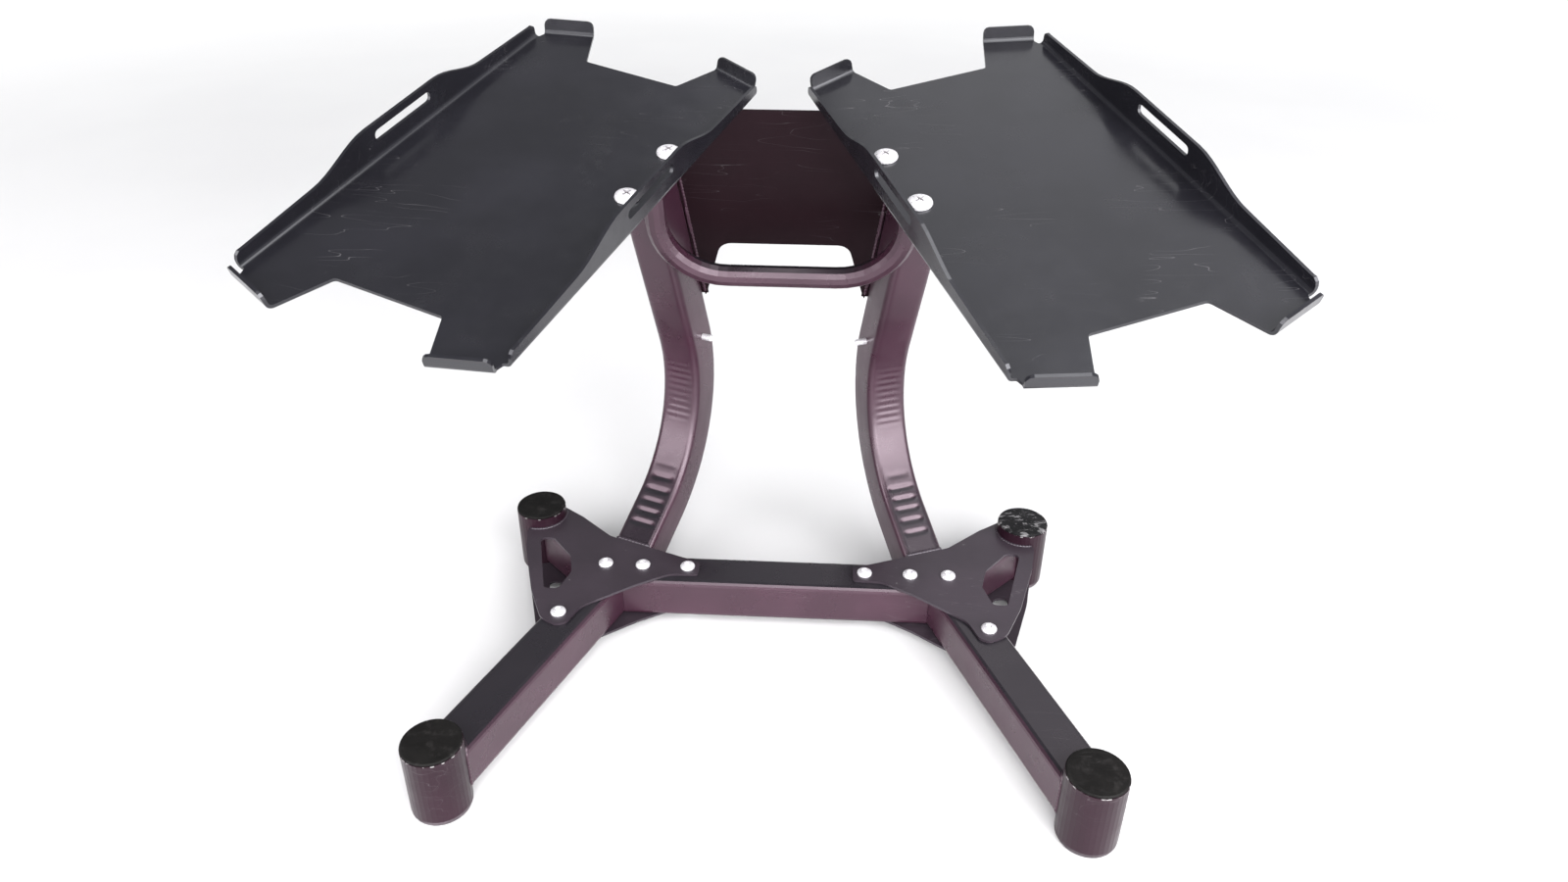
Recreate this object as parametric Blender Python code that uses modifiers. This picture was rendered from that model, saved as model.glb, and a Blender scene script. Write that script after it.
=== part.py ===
"""Stand for a pair of adjustable dumbbells.

Metres, +Z up. The user stands on the -Y side; +X is to the user's right when
facing the stand.  The origin is on the floor under the middle of the stand.

Each side of the stand lies in one vertical plane that is turned ALPHA outward:
front foot, front arm, elbow, curved upright and tray centre line are all in it.
Everything for the right side is modelled in that plane's own frame
(p forward along the arm, q outward across it, z up) and mirrored for the left.
"""
import math

import bmesh
import bpy
from mathutils import Matrix, Vector

# ---------------------------------------------------------------- dimensions
ALPHA = math.radians(21.7)      # each side plane is turned this far outward
YC = 0.0567                     # crossbar axis, forward/back
SIDE_W = 0.1815                 # side plane's distance from the centre line

TUBE = 0.050                    # square tube of arms, crossbar and uprights
WALL = 0.0025
TUBE_R = 0.006                  # its outer corner radius
TUBE_BOTTOM = 0.0160            # underside of arms and crossbar above the floor
TUBE_TOP = TUBE_BOTTOM + TUBE
GAP = 0.0003                    # between neighbouring solids

FOOT_R = 0.030                  # round foot posts
FOOT_WALL = 0.003
FOOT_TOP = 0.0848
CAP_FLANGE = 0.0024             # plastic plug flange on top of a post
GLIDE = 0.0065                  # plastic glide under a post
FRONT_FOOT = (0.3908, 0.0)      # p, q
REAR_FOOT = (0.0227, 0.1318)
REAR_ARM_W = 0.030
REAR_ARM_HEADING = math.radians(45)

PLATE = 0.0030                  # gusset plate thickness
PLATE_REAR_P = 0.0248           # gusset's straight rear edge, against the upright
BOLTS = ((0.104, 0.0), (0.157, 0.0), (0.2013, 0.0008), (0.2384, -0.0886))
BOLT_R = 0.0050
BOLT_HEAD_R = 0.0087
BOLT_HEAD_H = 0.0052
NUT_AF = 0.017
NUT_H = 0.0080

ELBOW_P = 0.0172                # where arm axis and upright axis meet
RISE = math.radians(30.7)       # upright's first straight, above the horizontal
LEAN = math.radians(18.3)       # upright's top straight, forward of the vertical
FIRST_STRAIGHT = 0.0718         # elbow to start of bend, along the axis
BEND_R = 0.181                  # to the tube's axis

TRAY_P, TRAY_Q, TRAY_Z = 0.1587, -0.0030, 0.5754
TRAY_SLOPE = math.radians(13.7)  # front end lower
TRAY_ROLL = math.radians(8.6)    # outer side higher
SHEET = 0.0030
FOLD_R = 0.0040                 # inside radius of the folds
TRAY_HALF_W = 0.1270            # to the flange's inner face
FLANGE_H = 0.0153
HUMP_H = 0.0327
HUMP_BASE = 0.123
HUMP_TOP = 0.050
FLANGE_HALF_L = 0.2165
SLOT_HALF_L = 0.040
SLOT_W = 0.0100
SLOT_H = 0.0205
NOTCH_HALF_L = 0.194            # notch floor, from the tray's centre
NOTCH_HALF_W = 0.0515
TAB_INNER = (0.2402, 0.0712)     # the slanting fold of each tab's lip, one end
TAB_OUTER = (0.2230, 0.1203)     # and the other
LIP_ANGLE = math.radians(80)
LIP_LEN = 0.0110
LIP_CORNER = 0.0060
SCREWS = ((-0.085, -0.101), (-0.007, -0.101))   # u, v on the tray
SCREW_R = 0.0040
SCREW_HEAD_R = 0.0115
SCREW_HEAD_H = 0.0058

BRACKET = 0.0050
PANEL = 0.0030
PANEL_TOP = 0.583
PANEL_CUT_TOP = 0.416
PANEL_TIP = 0.339
UBAR_R = 0.0122
UBAR_HALF_STRAIGHT = 0.060
UBAR_BEND = 0.074
UBAR_Z = 0.4000
PIN_R = 0.0040

# ------------------------------------------------------------------- helpers
for old in list(bpy.data.objects):
    bpy.data.objects.remove(old, do_unlink=True)
scene = bpy.context.scene
scene.unit_settings.scale_length = 1.0
PARTS = bpy.data.collections.new("adjustable_dumbbell_stand")
CUTTERS = bpy.data.collections.new("cutters")
scene.collection.children.link(PARTS)
scene.collection.children.link(CUTTERS)
CUTTERS.hide_render = True

F = Vector((math.sin(ALPHA), -math.cos(ALPHA), 0.0))
W = Vector((math.cos(ALPHA), math.sin(ALPHA), 0.0))
Z = Vector((0.0, 0.0, 1.0))


def frame(x, y, z, origin):
    m = Matrix.Identity(4)
    for i, axis in enumerate((x, y, z)):
        for k in range(3):
            m[k][i] = axis[k]
    for k in range(3):
        m[k][3] = origin[k]
    return m


SIDE = frame(F, W, Z, W * SIDE_W + Vector((0, YC, 0)))


def material(name, color, roughness, metallic):
    m = bpy.data.materials.new(name)
    m.use_nodes = True
    bsdf = m.node_tree.nodes["Principled BSDF"]
    bsdf.inputs["Base Color"].default_value = (*color, 1)
    bsdf.inputs["Roughness"].default_value = roughness
    bsdf.inputs["Metallic"].default_value = metallic
    m.diffuse_color = (*color, 1)
    return m


FRAME_PAINT = ((0.075, 0.045, 0.060), 0.38, 0.0)
PLATE_PAINT = ((0.032, 0.031, 0.035), 0.42, 0.0)
TRAY_PAINT = ((0.040, 0.041, 0.046), 0.40, 0.0)
ZINC = ((0.78, 0.76, 0.78), 0.28, 1.0)
PLASTIC = ((0.012, 0.012, 0.013), 0.55, 0.0)


def put(obj, collection, look=None):
    for c in list(obj.users_collection):
        c.objects.unlink(obj)
    collection.objects.link(obj)
    if collection is CUTTERS:
        obj.hide_render = True
        obj.display_type = "WIRE"
    if look:
        obj.data.materials.clear()
        obj.data.materials.append(material(obj.name, *look))
    return obj


def from_mesh(name, mesh, matrix=None):
    obj = bpy.data.objects.new(name, mesh)
    scene.collection.objects.link(obj)
    if matrix is not None:
        obj.matrix_world = matrix
    return obj


def realise(obj, dissolve=True):
    """The object's evaluated mesh, welded and with its transform applied."""
    bpy.context.view_layer.update()
    graph = bpy.context.evaluated_depsgraph_get()
    mesh = bpy.data.meshes.new_from_object(obj.evaluated_get(graph))
    mesh.transform(obj.matrix_world)
    bm = bmesh.new()
    bm.from_mesh(mesh)
    bmesh.ops.remove_doubles(bm, verts=bm.verts, dist=1e-6)
    if dissolve:
        bmesh.ops.dissolve_limit(bm, angle_limit=math.radians(0.05), verts=bm.verts, edges=bm.edges)
    bmesh.ops.recalc_face_normals(bm, faces=bm.faces)
    if bm.calc_volume(signed=True) < 0:
        bmesh.ops.reverse_faces(bm, faces=bm.faces)
    bm.to_mesh(mesh)
    bm.free()
    name = obj.name
    old = obj.data
    bpy.data.objects.remove(obj, do_unlink=True)
    if isinstance(old, bpy.types.Mesh):
        if old.users == 0:
            bpy.data.meshes.remove(old)
    elif old.users == 0:
        bpy.data.curves.remove(old)
    mesh.name = name
    return from_mesh(name, mesh)


def flat(name, loops, thickness, matrix):
    """A flat outline with holes, thickness centred on the matrix's XY plane."""
    curve = bpy.data.curves.new(name, "CURVE")
    curve.dimensions = "2D"
    curve.fill_mode = "BOTH"
    curve.extrude = thickness / 2
    for loop in loops:
        spline = curve.splines.new("POLY")
        spline.points.add(len(loop) - 1)
        for point, (x, y) in zip(spline.points, loop):
            point.co = (x, y, 0, 1)
        spline.use_cyclic_u = True
    obj = from_mesh(name, curve, matrix)
    return realise(obj)


def fillet(points, radius, steps=3):
    """A polygon with its corners rounded; radius is one number or one per corner."""
    out = []
    n = len(points)
    for i, corner in enumerate(points):
        r = radius[i] if isinstance(radius, (list, tuple)) else radius
        c = Vector(corner)
        if r <= 0:
            out.append((c.x, c.y))
            continue
        a = (Vector(points[i - 1]) - c).normalized()
        b = (Vector(points[(i + 1) % n]) - c).normalized()
        half = a.angle(b) / 2
        reach = min(r / math.tan(half), 0.48 * (Vector(points[i - 1]) - c).length,
                    0.48 * (Vector(points[(i + 1) % n]) - c).length)
        r = reach * math.tan(half)
        centre = c + (a + b).normalized() * (r / math.sin(half))
        start = c + a * reach - centre
        end = c + b * reach - centre
        sweep = math.atan2(start.x * end.y - start.y * end.x, start.dot(end))
        first = math.atan2(start.y, start.x)
        for k in range(steps + 1):
            t = first + sweep * k / steps
            out.append((centre.x + r * math.cos(t), centre.y + r * math.sin(t)))
    return out


def rounded_box(w, h, r, steps=3):
    return fillet([(-w / 2, -h / 2), (w / 2, -h / 2), (w / 2, h / 2), (-w / 2, h / 2)], r, steps)


def circle(r, n=40, x=0.0, y=0.0):
    return [(x + r * math.cos(2 * math.pi * k / n), y + r * math.sin(2 * math.pi * k / n)) for k in range(n)]


def tube(name, w, h, a, b, up=Z, wall=WALL, radius=TUBE_R):
    """A rectangular tube from point a to point b; h is its size along up."""
    along = (b - a).normalized()
    side = up.cross(along).normalized()
    m = frame(side, along.cross(side), along, (a + b) / 2)
    return flat(name, [rounded_box(w, h, radius), rounded_box(w - 2 * wall, h - 2 * wall, radius - wall)],
                (b - a).length, m)


def boolean(obj, other, operation="DIFFERENCE"):
    mod = obj.modifiers.new(other.name, "BOOLEAN")
    mod.operation = operation
    mod.solver = "EXACT"
    mod.object = other
    return mod


def cylinder(name, r, depth, matrix, n=40):
    bm = bmesh.new()
    bmesh.ops.create_cone(bm, cap_ends=True, segments=n, radius1=r, radius2=r, depth=depth)
    mesh = bpy.data.meshes.new(name)
    bm.to_mesh(mesh)
    bm.free()
    return from_mesh(name, mesh, matrix)


def block(name, size, matrix):
    bm = bmesh.new()
    bmesh.ops.create_cube(bm, size=1.0, matrix=Matrix.Diagonal((*size, 1)))
    mesh = bpy.data.meshes.new(name)
    bm.to_mesh(mesh)
    bm.free()
    return from_mesh(name, mesh, matrix)


def half_space(name, point, normal, size=0.6):
    """A large block whose face passes through point; it lies on the normal's side."""
    n = Vector(normal).normalized()
    x = n.orthogonal().normalized()
    return put(block(name, (size, size, size), frame(x, n.cross(x), n, Vector(point) + n * size / 2)), CUTTERS)


def finish(obj, cutters, look, smooth=True):
    for cutter in cutters:
        boolean(obj, cutter)
    obj = realise(obj) if cutters else obj
    if smooth:
        obj.data.shade_smooth()
        obj.data.set_sharp_from_angle(angle=math.radians(32))
    return put(obj, PARTS, look)


def mirrored(obj, name, look):
    """The same piece for the left side."""
    mesh = obj.data.copy()
    mesh.name = name
    bm = bmesh.new()
    bm.from_mesh(mesh)
    bmesh.ops.transform(bm, matrix=Matrix.Diagonal((-1, 1, 1, 1)), verts=bm.verts)
    bmesh.ops.reverse_faces(bm, faces=bm.faces)
    bm.to_mesh(mesh)
    bm.free()
    return put(from_mesh(name, mesh), PARTS, look)


def both(name, obj, look):
    obj.name = "right_" + name
    obj.data.name = obj.name
    mirrored(obj, "left_" + name, look)
    return obj


def turned(name, profile, matrix, steps=40):
    """A turned solid: profile as (radius, z) from the axis at the top, down its outer side, to the axis."""
    mesh = bpy.data.meshes.new(name)
    verts = [(r, 0, z) for r, z in profile]
    mesh.from_pydata(verts, [(i, i + 1) for i in range(len(verts) - 1)], [])
    obj = from_mesh(name, mesh, matrix)
    screw = obj.modifiers.new("turn", "SCREW")
    screw.steps = screw.render_steps = steps
    screw.use_merge_vertices = True
    screw.merge_threshold = 0.00001
    screw.use_normal_calculate = True
    return realise(obj, dissolve=False)


def at(p, q, z):
    return SIDE @ Vector((p, q, z))


# ------------------------------------------------------------- foot positions
FRONT = at(*FRONT_FOOT, 0)
REAR = at(*REAR_FOOT, 0)
TUBE_MID = TUBE_BOTTOM + TUBE / 2

# ------------------------------------------------------------------ foot posts
for place, centre in (("front", FRONT), ("rear", REAR)):
    low, high = GLIDE + GAP, FOOT_TOP - CAP_FLANGE - GAP
    post = flat(place + "_foot_post", [circle(FOOT_R, 36), circle(FOOT_R - FOOT_WALL, 36)], high - low,
                Matrix.Translation((centre.x, centre.y, (low + high) / 2)))
    post = finish(post, [], FRAME_PAINT)
    both(place + "_foot_post", post, FRAME_PAINT)
    # plug in the top of the post: a flange with a rounded rim and a body inside the tube
    r_in = FOOT_R - FOOT_WALL - GAP
    rim = FOOT_R - 0.0006
    plug = turned(place + "_top_plug", [
        (0, FOOT_TOP), (rim - 0.0012, FOOT_TOP), (rim, FOOT_TOP - 0.0009),
        (rim, FOOT_TOP - CAP_FLANGE), (r_in, FOOT_TOP - CAP_FLANGE), (r_in, FOOT_TOP - 0.0145), (0, FOOT_TOP - 0.0145)],
        Matrix.Translation((centre.x, centre.y, 0)), 36)
    plug = finish(plug, [], PLASTIC)
    both(place + "_top_plug", plug, PLASTIC)
    # glide under the post
    glide = turned(place + "_floor_glide", [
        (0, 0.016), (r_in, 0.016), (r_in, GLIDE), (FOOT_R - 0.0003, GLIDE),
        (FOOT_R - 0.0003, 0.0040), (FOOT_R - 0.0014, 0.0014), (FOOT_R - 0.0040, 0), (0, 0)],
        Matrix.Translation((centre.x, centre.y, 0)), 36)
    glide = finish(glide, [], PLASTIC)
    both(place + "_floor_glide", glide, PLASTIC)

# ------------------------------------------------------------------ base tubes
bolt_holes = [put(cylinder("bolt_hole_%d" % (i + 1), BOLT_R + GAP, 0.12,
                           Matrix.Translation((x, y + YC, TUBE_MID)), 16), CUTTERS)
              for i, (x, y) in enumerate(BOLTS)]
front_post_cut = put(cylinder("front_post_cope", FOOT_R + GAP, 0.2, Matrix.Translation((*FRONT.xy, 0.05)), 36), CUTTERS)
rear_post_cut = put(cylinder("rear_post_cope", FOOT_R + GAP, 0.2, Matrix.Translation((*REAR.xy, 0.05)), 36), CUTTERS)

elbow = at(ELBOW_P, 0, TUBE_MID)
up_dir = (-F * math.cos(RISE) + Z * math.sin(RISE)).normalized()
mitre = (-F + up_dir).normalized()               # along the bisector of the two runs

arm = tube("front_arm", TUBE, TUBE, at(ELBOW_P - 0.04, 0, TUBE_MID), at(FRONT_FOOT[0], 0, TUBE_MID))
arm = finish(arm, [front_post_cut, half_space("elbow_mitre_arm", elbow - mitre * GAP / 2, mitre),
                   bolt_holes[2], bolt_holes[3]], FRAME_PAINT)
both("front_arm", arm, FRAME_PAINT)

reach = Vector((math.cos(REAR_ARM_HEADING), math.sin(REAR_ARM_HEADING), 0))
rear_mid = Vector((*REAR.xy, TUBE_MID))
rear_arm = tube("rear_arm", REAR_ARM_W, TUBE, rear_mid - reach * 0.18, rear_mid)
rear_arm = finish(rear_arm, [rear_post_cut, half_space("rear_arm_end", at(0, TUBE / 2 + GAP, 0), -W)], FRAME_PAINT)
both("rear_arm", rear_arm, FRAME_PAINT)

end_r = at(0, -TUBE / 2 - GAP, 0)
end_l = Vector((-end_r.x, end_r.y, 0))
crossbar = tube("crossbar", TUBE, TUBE, Vector((-0.25, YC, TUBE_MID)), Vector((0.25, YC, TUBE_MID)))
left_holes = [put(cylinder("left_bolt_hole_%d" % (i + 1), BOLT_R + GAP, 0.12,
                           Matrix.Translation((-x, y + YC, TUBE_MID)), 16), CUTTERS)
              for i, (x, y) in enumerate(BOLTS[:2])]
finish(crossbar, [half_space("crossbar_end_right", end_r, W),
                  half_space("crossbar_end_left", end_l, Vector((-W.x, W.y, 0))),
                  bolt_holes[0], bolt_holes[1], *left_holes], FRAME_PAINT)

# --------------------------------------------------------------- gusset plates
def rear_edge(x):
    """y of the gusset's straight rear edge, square to the arm, at x (YC not added)."""
    return (math.sin(ALPHA) * x - PLATE_REAR_P) / math.cos(ALPHA)


foot_x, foot_y = REAR.x, REAR.y - YC
notch_r = FOOT_R + 2 * GAP
notch = []
for k in range(11):
    t = math.radians(-72 - (215 - 72) * k / 10)
    notch.append((foot_x + notch_r * math.cos(t), foot_y + notch_r * math.sin(t)))
corners = [(0.0905, rear_edge(0.0905) + 0.0005), (0.0905, -0.0125), (0.124, -0.0137), (0.160, -0.0350), (0.2163, -0.0765),
           (0.2262, -0.1030), (0.2368, -0.1085), (0.2570, -0.0975), (0.2785, -0.0510), (0.3015, 0.0200),
           (0.3095, 0.0570)]
radii = [0.004, 0.004, 0.030, 0.080, 0.030, 0.009, 0.010, 0.022, 0.10, 0.12, 0.0]
corners += notch + [(0.2470, 0.0925), (0.2060, rear_edge(0.2060))]
radii += [0.0] * len(notch) + [0.030, 0.016]
outline = fillet(corners, radii, 4)
window_top = fillet([(0.2910, 0.0475), (0.2740, 0.0475), (0.2465, 0.0140), (0.2390, -0.0160), (0.2478, -0.0465),
                     (0.2645, -0.0480)], [0.006, 0.006, 0.012, 0.014, 0.006, 0.006], 4)
window_low = fillet([(0.2810, 0.0310), (0.2640, 0.0290), (0.2465, -0.0100), (0.2478, -0.0400), (0.2630, -0.0420)],
                    [0.007, 0.007, 0.012, 0.006, 0.006], 4)
for name, z, window in (("top_gusset_plate", TUBE_TOP + GAP, window_top),
                        ("bottom_gusset_plate", TUBE_BOTTOM - GAP - PLATE, window_low)):
    holes = [circle(BOLT_R + GAP, 16, x, y) for x, y in BOLTS]
    plate = flat(name, [outline, window, *holes], PLATE, Matrix.Translation((0, YC, z + PLATE / 2)))
    plate = finish(plate, [], PLATE_PAINT)
    both(name, plate, PLATE_PAINT)
PLATE_TOP = TUBE_TOP + GAP + PLATE
PLATE_LOW = TUBE_BOTTOM - GAP - PLATE

# ------------------------------------------------------------ bolts and nuts
for i, (x, y) in enumerate(BOLTS):
    z = PLATE_TOP + GAP
    r, h = BOLT_HEAD_R, BOLT_HEAD_H
    dome = [(r * math.cos(t), z + 0.0012 + (h - 0.0012) * math.sin(t))
            for t in (math.radians(62), math.radians(36), math.radians(16), 0)]
    bolt = turned("bolt", [(0, z + h), (0.0042, z + h)] + dome + [(r - 0.0002, z), (BOLT_R, z),
                  (BOLT_R, 0.0036), (0, 0.0036)],
                  Matrix.Translation((x, y + YC, 0)), 20)
    socket = put(cylinder("hex_socket_%d" % (i + 1), 0.0035, 0.0064, Matrix.Translation((x, y + YC, z + h)), 6), CUTTERS)
    bolt = finish(bolt, [socket], ZINC)
    both("gusset_bolt_%d" % (i + 1), bolt, ZINC)
    hexagon = [(x + NUT_AF / math.sqrt(3) * math.cos(math.radians(60 * k)),
                y + NUT_AF / math.sqrt(3) * math.sin(math.radians(60 * k))) for k in range(6)]
    top = PLATE_LOW - GAP
    nut = flat("nut", [hexagon, circle(BOLT_R + GAP, 16, x, y)], NUT_H - 0.0010,
               Matrix.Translation((0, YC, top - (NUT_H - 0.0010) / 2)))
    nut = finish(nut, [], ZINC)
    both("gusset_nut_%d" % (i + 1), nut, ZINC)

# ------------------------------------------------------------ tray frame
u_axis = (F * math.cos(TRAY_SLOPE) - Z * math.sin(TRAY_SLOPE)).normalized()
n_flat = W.cross(-u_axis).normalized()
v_axis = (W * math.cos(TRAY_ROLL) + n_flat * math.sin(TRAY_ROLL)).normalized()
n_axis = u_axis.cross(v_axis).normalized()
TRAY = frame(u_axis, v_axis, n_axis, at(TRAY_P, TRAY_Q, TRAY_Z))

# ---------------------------------------------------------------- uprights
# axis path in the side plane, as (p, z)
turn = math.pi / 2 - RISE + LEAN                  # from rearward-rising to forward-leaning
start = Vector((ELBOW_P + 0.03 * math.cos(RISE), TUBE_MID - 0.03 * math.sin(RISE)))
bend0 = Vector((ELBOW_P - FIRST_STRAIGHT * math.cos(RISE), TUBE_MID + FIRST_STRAIGHT * math.sin(RISE)))
centre = bend0 + BEND_R * Vector((math.sin(RISE), math.cos(RISE)))
path = [start]
ARC = 14
for k in range(ARC + 1):
    phi = -(math.pi / 2 - RISE) + turn * k / ARC  # lean angle from the vertical
    path.append(centre + BEND_R * Vector((-math.cos(phi), math.sin(phi))))
top_dir = Vector((math.sin(LEAN), math.cos(LEAN)))
path.append(path[-1] + top_dir * 0.42)


def sweep(name, section):
    guide = bpy.data.curves.new(name + "_section", "CURVE")
    guide.dimensions = "2D"
    s = guide.splines.new("POLY")
    s.points.add(len(section) - 1)
    for point, (x, y) in zip(s.points, section):
        point.co = (x, y, 0, 1)
    s.use_cyclic_u = True
    guide_obj = put(from_mesh(name + "_section", guide), CUTTERS)
    curve = bpy.data.curves.new(name, "CURVE")
    curve.dimensions = "2D"
    curve.bevel_mode = "OBJECT"
    curve.bevel_object = guide_obj
    curve.use_fill_caps = True
    s = curve.splines.new("POLY")
    s.points.add(len(path) - 1)
    for point, q in zip(s.points, path):
        point.co = (q.x, q.y, 0, 1)
    obj = from_mesh(name, curve, frame(F, Z, -W, at(0, 0, 0)))
    obj = realise(obj, dissolve=False)
    bpy.data.objects.remove(guide_obj, do_unlink=True)
    return obj


upright = sweep("upright", rounded_box(TUBE, TUBE, TUBE_R))
bore = put(sweep("upright_bore", rounded_box(TUBE - 2 * WALL, TUBE - 2 * WALL, TUBE_R - WALL)), CUTTERS)
bracket_under = TRAY @ Vector((0, 0, -SHEET - GAP - BRACKET - GAP))
foot_cut = half_space("elbow_mitre_upright", elbow + mitre * GAP / 2, -mitre)
top_cut = half_space("upright_top_cut", bracket_under, n_axis)
# bore runs past both ends
pin_phi_p = path[-2]
pin_centre = at(pin_phi_p.x - top_dir.x * 0.004, -TUBE / 2, pin_phi_p.y - top_dir.y * 0.004)
pin_hole = put(cylinder("pin_hole", PIN_R + GAP, 0.02, frame(F, Z, -W, pin_centre), 24), CUTTERS)
upright = finish(upright, [bore, foot_cut, top_cut, pin_hole], FRAME_PAINT)
both("curved_upright", upright, FRAME_PAINT)

# side pins: round-ended studs standing out of the uprights' inner faces
pin = turned("pin", [(0, 0.0142), (0.0016, 0.0140), (0.0030, 0.0130), (PIN_R, 0.0112), (PIN_R, -0.0024),
                     (0, -0.0024)], frame(F, Z, -W, pin_centre), 20)
pin = finish(pin, [], ZINC)
both("side_pin", pin, ZINC)

# ------------------------------------------------------------------- trays
def quarter(fx, fy, points):
    return [(fx * x, fy * y) for x, y in points]


FLAT_W = TRAY_HALF_W - FOLD_R                      # where the side fold starts
SIDE_ARC = FOLD_R * math.pi / 2
LIP_ARC = FOLD_R * LIP_ANGLE


def unrolled(h):
    """Distance from the tray's centre line, on the flat blank, of height h on the flange."""
    return FLAT_W + SIDE_ARC + h - FOLD_R


hump = []
for k in range(9):
    t = k / 8
    s = t * t * (3 - 2 * t)
    hump.append((HUMP_BASE + (HUMP_TOP - HUMP_BASE) * t, unrolled(FLANGE_H + (HUMP_H - FLANGE_H) * s)))
tab_in, tab_out = Vector(TAB_INNER), Vector(TAB_OUTER)
along_fold = (tab_out - tab_in).normalized()
over_fold = Vector((along_fold.y, -along_fold.x))
lip = over_fold * (LIP_ARC + LIP_LEN)
tip = fillet([(0.0, unrolled(HUMP_H) - 0.1), (FLANGE_HALF_L, unrolled(FLANGE_H)), (FLANGE_HALF_L, 0.1222),
              tuple(tab_out), tuple(tab_out + lip), tuple(tab_in + lip), tuple(tab_in),
              (NOTCH_HALF_L, NOTCH_HALF_W), (NOTCH_HALF_L, 0.0)],
             [0, 0.009, 0.0020, 0.0015, LIP_CORNER, LIP_CORNER, 0.0020, 0.004, 0], 3)[1:-1]
q1 = [(0.0, unrolled(HUMP_H))] + hump[::-1] + tip + [(NOTCH_HALF_L, 0.0)]
blank = q1 + quarter(1, -1, q1[::-1])[1:] + quarter(-1, -1, q1)[1:] + quarter(-1, 1, q1[::-1])[1:-1]
slot = fillet([(-SLOT_HALF_L, -SLOT_W / 2), (SLOT_HALF_L, -SLOT_W / 2), (SLOT_HALF_L, SLOT_W / 2),
               (-SLOT_HALF_L, SLOT_W / 2)], SLOT_W / 2 - 0.0001, 5)
loops = [blank]
for sign in (1, -1):
    loops.append([(x, y + sign * unrolled(SLOT_H)) for x, y in slot])
for u, v in SCREWS:
    loops.append(circle(SCREW_R + GAP, 18, u, v))


def folded(x, y):
    """A point of the flat blank, on the tray's upper face after folding."""
    if abs(y) > FLAT_W and abs(x) < FLANGE_HALF_L + 0.001:
        s, sign = abs(y) - FLAT_W, math.copysign(1, y)
        t = min(s / FOLD_R, math.pi / 2)
        rest = max(0.0, s - SIDE_ARC)
        return Vector((x, sign * (FLAT_W + FOLD_R * math.sin(t)), FOLD_R * (1 - math.cos(t)) + rest))
    s = (Vector((abs(x), abs(y))) - tab_in).dot(over_fold)
    if s > 0:
        t = min(s / FOLD_R, LIP_ANGLE)
        rest = max(0.0, s - LIP_ARC)
        shift = over_fold * (FOLD_R * math.sin(t) + rest * math.cos(LIP_ANGLE) - s)
        return Vector((x + math.copysign(1, x) * shift.x, y + math.copysign(1, y) * shift.y,
                       FOLD_R * (1 - math.cos(t)) + rest * math.sin(LIP_ANGLE)))
    return Vector((x, y, 0))


curve = bpy.data.curves.new("tray", "CURVE")
curve.dimensions = "2D"
curve.fill_mode = "BOTH"
for loop in loops:
    s = curve.splines.new("POLY")
    s.points.add(len(loop) - 1)
    for point, (x, y) in zip(s.points, loop):
        point.co = (x, y, 0, 1)
    s.use_cyclic_u = True
tray = from_mesh("tray", curve)
bpy.context.view_layer.update()
mesh = bpy.data.meshes.new_from_object(tray.evaluated_get(bpy.context.evaluated_depsgraph_get()))
bpy.data.objects.remove(tray, do_unlink=True)
bm = bmesh.new()
bm.from_mesh(mesh)
bmesh.ops.remove_doubles(bm, verts=bm.verts, dist=1e-6)
bmesh.ops.dissolve_limit(bm, angle_limit=math.radians(0.05), verts=bm.verts, edges=bm.edges)
STEPS = 4
cuts = []
for k in range(STEPS + 1):
    cuts += [(Vector((0, sign * (FLAT_W + SIDE_ARC * k / STEPS), 0)), Vector((0, 1, 0))) for sign in (1, -1)]
    edge = tab_in + over_fold * (LIP_ARC * k / STEPS)
    cuts += [(Vector((a * edge.x, b * edge.y, 0)), Vector((a * over_fold.x, b * over_fold.y, 0)))
             for a in (1, -1) for b in (1, -1)]
for co, no in cuts:
    bmesh.ops.bisect_plane(bm, geom=bm.verts[:] + bm.edges[:] + bm.faces[:], dist=1e-7,
                           plane_co=co, plane_no=no)
for vert in bm.verts:
    vert.co = folded(vert.co.x, vert.co.y)
bmesh.ops.recalc_face_normals(bm, faces=bm.faces)
for face in bm.faces:
    if abs(face.normal.z) > 0.99 and face.normal.z < 0:
        bmesh.ops.reverse_faces(bm, faces=bm.faces)
        break
bm.to_mesh(mesh)
bm.free()
tray = from_mesh("tray", mesh, TRAY)
solid = tray.modifiers.new("sheet", "SOLIDIFY")
solid.thickness = SHEET
solid.offset = -1
solid.use_even_offset = True
tray = finish(realise(tray, dissolve=False), [], TRAY_PAINT)
both("tray", tray, TRAY_PAINT)

# ------------------------------------------------ tray brackets and fasteners
def on_tray(h):
    return TRAY @ Matrix.Translation((0, 0, h))


bracket_z = -SHEET - GAP - BRACKET / 2
shape = fillet([(-0.1960, -0.0420), (-0.1150, -0.1170), (0.0230, -0.1170), (0.0230, -0.0820), (-0.1330, 0.0370),
                (-0.1960, 0.0370)], [0.012, 0.02, 0.012, 0.012, 0.02, 0.012], 5)
bracket = flat("tray_bracket", [shape, *[circle(SCREW_R + GAP, 16, u, v) for u, v in SCREWS]], BRACKET,
               on_tray(bracket_z))
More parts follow.
